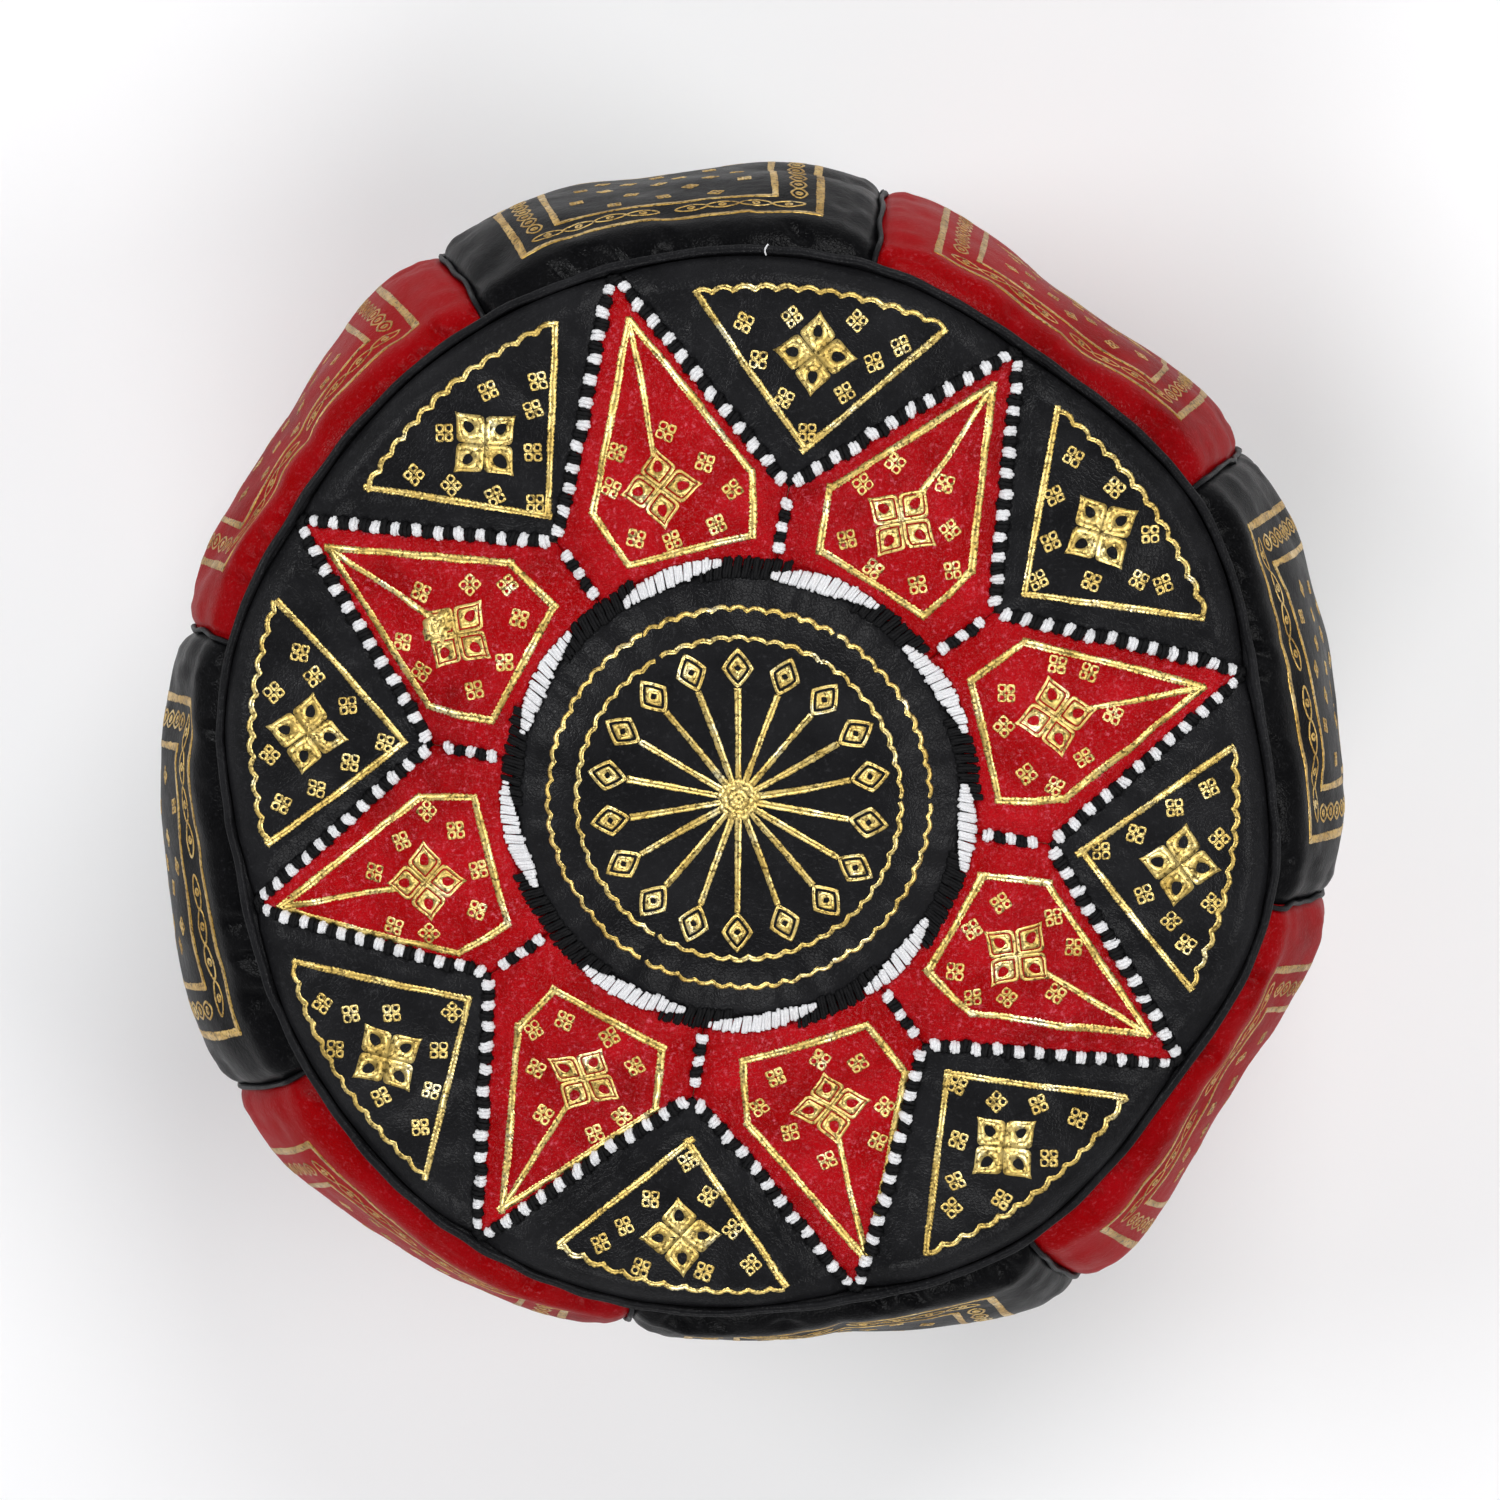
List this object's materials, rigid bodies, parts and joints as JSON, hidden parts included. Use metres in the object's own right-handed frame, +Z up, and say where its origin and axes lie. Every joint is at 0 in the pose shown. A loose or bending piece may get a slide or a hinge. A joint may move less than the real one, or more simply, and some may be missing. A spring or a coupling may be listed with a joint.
{
  "type": "leather pouf",
  "caption": "Round stuffed floor pouf with a patchwork star top, bulging leather side panels, welted seams and a zipped base.",
  "frame": {"origin": "centre of the base's flat face, on the floor", "axes": "+Z up along the pouf's axis, out of the star top; +X along the zip, towards its closed end"},
  "size_m": [0.52, 0.52, 0.32],
  "materials": {
    "black_leather": "semi-gloss grained leather, with gold leaf tooling in thin lines",
    "red_leather": "glossy dyed leather, with gold leaf tooling in thin lines",
    "white_thread": "waxed cotton thread",
    "black_thread": "waxed cotton thread",
    "canvas": "plain cotton canvas",
    "cotton_bag": "plain cotton",
    "stuffing": "packed cotton and rag filling",
    "zip_tape": "woven tape",
    "brass": "tumbled brass",
    "gold_leaf": "gold leaf pressed into leather with heated tools"
  },
  "bodies": {
    "pouf": {"filling": "stuffing", "inner_bag": "cotton_bag", "top_backing": "canvas", "medallion": "black_leather", "medallion_thread_black": "black_thread", "medallion_thread_white": "white_thread", "star_petal_1": "red_leather", "star_petal_2": "red_leather", "star_petal_3": "red_leather", "star_petal_4": "red_leather", "star_petal_5": "red_leather", "star_petal_6": "red_leather", "star_petal_7": "red_leather", "star_petal_8": "red_leather", "top_triangle_1": "black_leather", "top_triangle_2": "black_leather", "top_triangle_3": "black_leather", "top_triangle_4": "black_leather", "top_triangle_5": "black_leather", "top_triangle_6": "black_leather", "top_triangle_7": "black_leather", "top_triangle_8": "black_leather", "star_thread_white": "white_thread", "star_thread_black": "black_thread", "side_panel_1": "black_leather", "side_panel_2": "red_leather", "side_panel_3": "black_leather", "side_panel_4": "red_leather", "side_panel_5": "black_leather", "side_panel_6": "red_leather", "side_panel_7": "black_leather", "side_panel_8": "red_leather", "side_welts": "black_leather", "top_welt": "black_leather", "bottom_welt": "black_leather", "base_half_front": "black_leather", "base_half_back": "black_leather", "zip_end_patches": "black_leather", "zip_tape_front": "zip_tape", "zip_tape_back": "zip_tape", "zip_teeth_front": "brass", "zip_teeth_back": "brass", "zip_stops": "brass"},
    "slider": {"zip_slider": "brass"},
    "pull_tab": {"zip_pull_tab": "brass"}
  },
  "joints": [
    {"name": "zip_slide", "type": "slide", "parent": "pouf", "child": "slider", "axis": [-1, 0, 0], "range_m": [0, 0.285]},
    {"name": "pull_tab_hinge", "type": "hinge", "parent": "slider", "child": "pull_tab", "pos_m": [0.145, 0, 0.003], "axis": [0, 1, 0], "range_deg": [-178, 0]}
  ]
}
